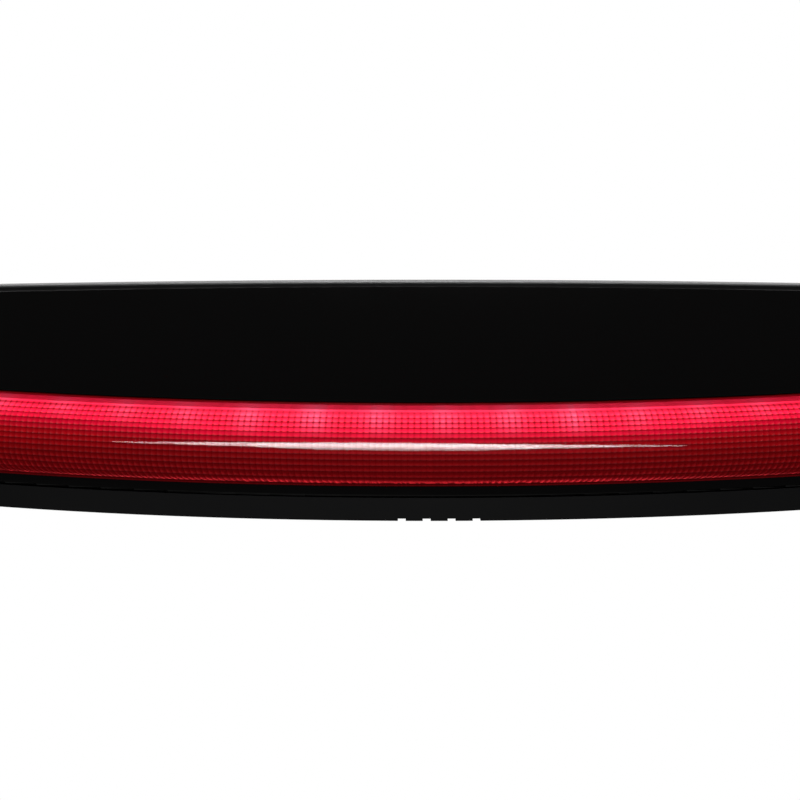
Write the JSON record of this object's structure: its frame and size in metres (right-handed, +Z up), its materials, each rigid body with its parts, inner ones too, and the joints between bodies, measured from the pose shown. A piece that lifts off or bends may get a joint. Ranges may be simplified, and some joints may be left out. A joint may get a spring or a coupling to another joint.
{
  "type": "third brake light",
  "caption": "Long bowed LED brake lamp with a red prismed lens under a gloss black cover, mounting studs and sprung end catches.",
  "frame": {"origin": "midway between the two mounting studs, on the plane of the pads that they stand on", "axes": "+Z up on the car, +X along the lamp, +Y forwards into the car, so the lens faces -Y"},
  "size_m": [0.302, 0.076, 0.0574],
  "materials": {
    "housing_black": "fine spark-eroded texture, black ABS",
    "cover_gloss_black": "polished piano-black plastic",
    "lens_red": "clear red plastic, smooth outside and prismed inside",
    "clear_silicone": "translucent sealant bead",
    "board_white": "white solder mask on glass-fibre board",
    "led_body": "moulded LED package",
    "led_dome": "clear silicone dome over a red die",
    "reflector_silver": "vacuum-metallised plastic",
    "zinc_steel": "zinc-plated steel",
    "chip_black": "moulded electronic parts",
    "capacitor_amber": "moulded tantalum capacitor",
    "tinned_brass": "tin-plated brass blades",
    "foam_black": "closed-cell foam",
    "membrane_white": "expanded breathable film",
    "rubber_black": "moulded rubber",
    "catch_natural": "unpigmented acetal",
    "spring_steel": "drawn spring wire"
  },
  "bodies": {
    "lamp": {"rear_housing": "housing_black", "front_cover": "cover_gloss_black", "lens": "lens_red", "lens_seal": "clear_silicone", "led_strip": "board_white", "led_packages": "led_body", "led_domes": "led_dome", "reflector": "reflector_silver", "strip_screws": "zinc_steel", "resistors": "chip_black", "diodes": "chip_black", "capacitor": "capacitor_amber", "regulators": "chip_black", "contact_pins": "tinned_brass", "pin_seal": "clear_silicone", "body_gasket": "foam_black", "vent_membrane": "membrane_white", "vent_cap": "rubber_black", "mounting_studs": "zinc_steel", "cover_screws": "zinc_steel", "catch_screws": "zinc_steel", "catch_spring_left": "spring_steel", "catch_spring_right": "spring_steel", "catch_cover_left": "housing_black", "catch_cover_right": "housing_black"},
    "catch_left": {"catch_left": "catch_natural"},
    "catch_right": {"catch_right": "catch_natural"}
  },
  "joints": [
    {"name": "catch_left_slide", "type": "slide", "parent": "lamp", "child": "catch_left", "axis": [0.8813, -0.4726, 0], "range_m": [0, 0.003], "stiffness_N_per_m": 500, "springref_m": -0.002, "deforming": ["catch_spring_left"]},
    {"name": "catch_right_slide", "type": "slide", "parent": "lamp", "child": "catch_right", "axis": [-0.8813, -0.4726, 0], "range_m": [0, 0.003], "stiffness_N_per_m": 500, "springref_m": -0.002, "deforming": ["catch_spring_right"]}
  ]
}
